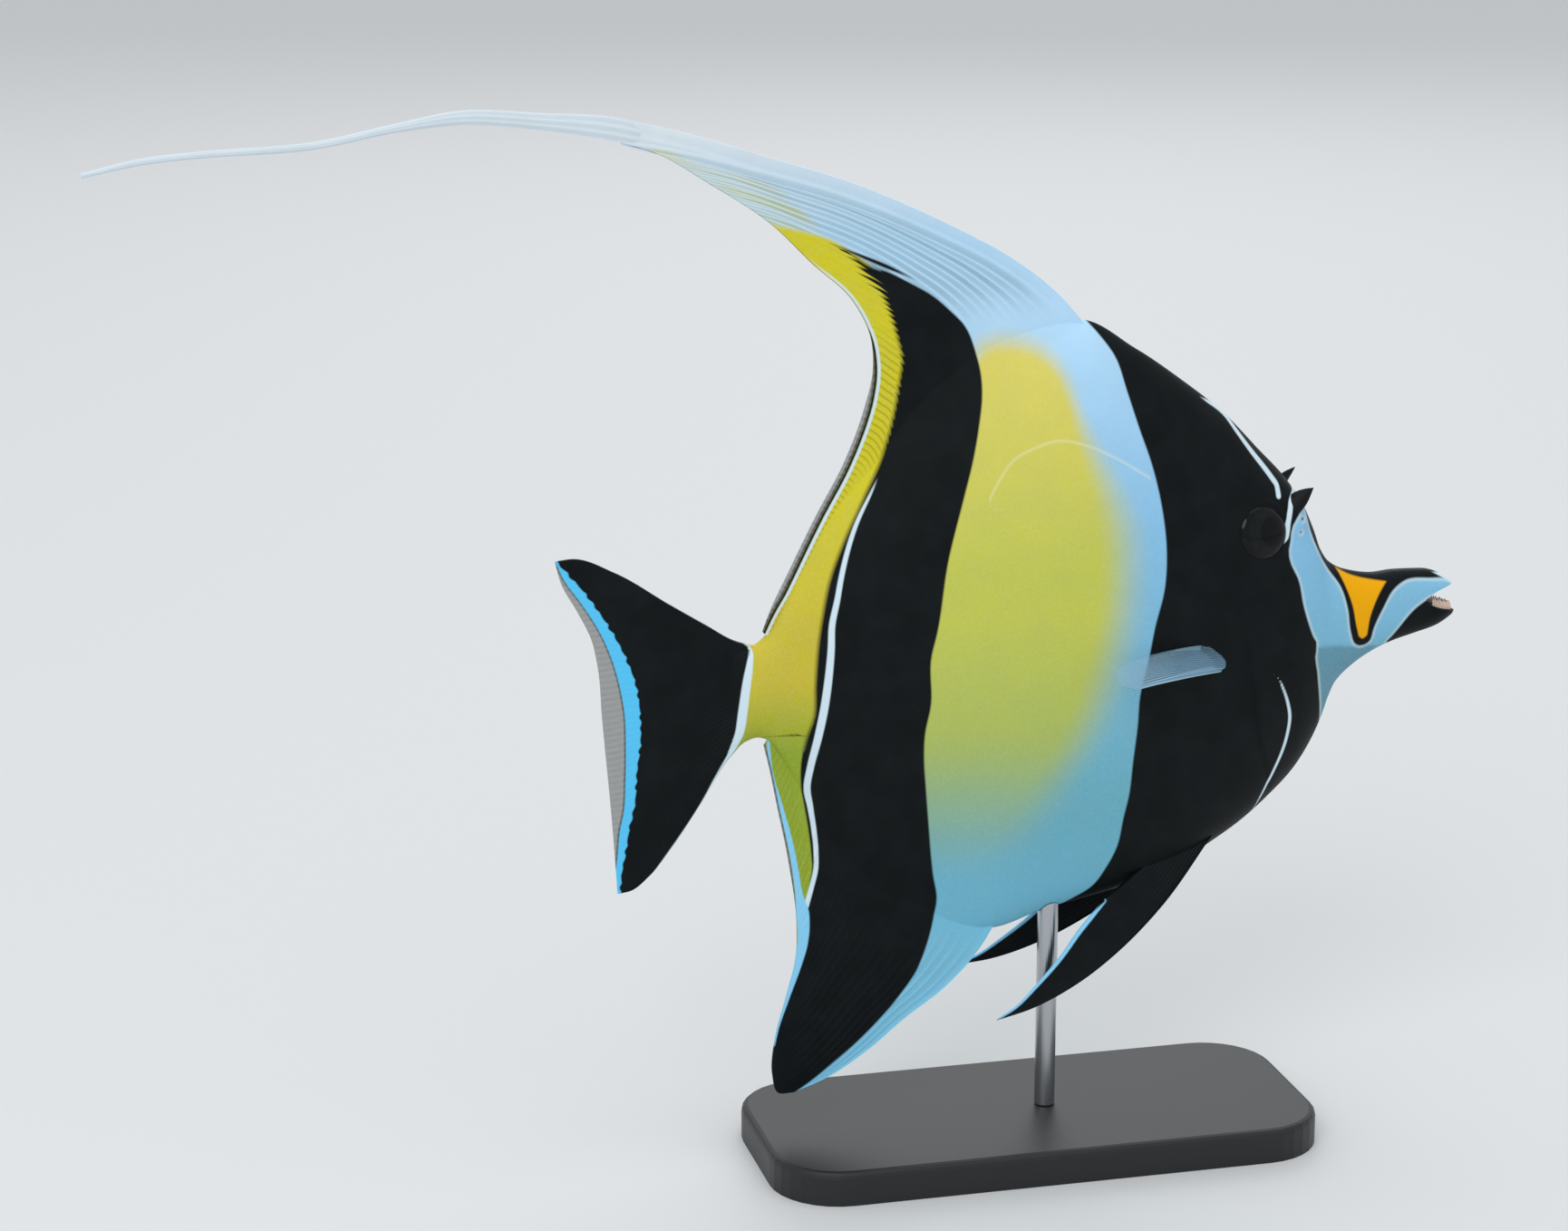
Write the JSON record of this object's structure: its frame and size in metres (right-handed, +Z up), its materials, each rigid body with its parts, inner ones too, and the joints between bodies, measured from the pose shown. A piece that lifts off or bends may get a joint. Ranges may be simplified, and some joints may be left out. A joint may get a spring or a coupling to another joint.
{
  "type": "moorish idol fish",
  "caption": "Still, life-size moorish idol: a deep, thin banded fish with a tube snout, a long dorsal filament and ribbed fins, held up by a rod on a flat stand.",
  "frame": {"origin": "centre of the stand's underside", "axes": "+X towards the fish's head, +Z up, the fish's middle plane at y = 0 as far back as the tail stalk"},
  "size_m": [0.3119, 0.058, 0.2471],
  "materials": {
    "skin_black": "painted skin, satin",
    "skin_pale": "painted skin, satin",
    "skin_yellow": "painted skin, satin",
    "fin_clear": "thin fin film with rays, translucent",
    "eye": "wet gloss",
    "horn": "bony, satin",
    "stand_wood": "black satin lacquer",
    "stand_steel": "brushed"
  },
  "bodies": {
    "root": {"head": "skin_black", "upper_jaw": "skin_pale", "lower_jaw": "skin_black", "trunk": "skin_yellow", "tail_stalk": "skin_yellow", "dorsal_fin": "skin_pale", "dorsal_filament": "skin_pale", "anal_fin": "skin_black", "tail_fin": "skin_black", "pectoral_fin_right": "fin_clear", "pectoral_fin_left": "fin_clear", "pelvic_fin_right": "skin_black", "pelvic_fin_left": "skin_black", "eye_right": "eye", "eye_left": "eye", "horn_right": "horn", "horn_left": "horn", "stand_base": "stand_wood", "stand_rod": "stand_steel"}
  },
  "joints": []
}
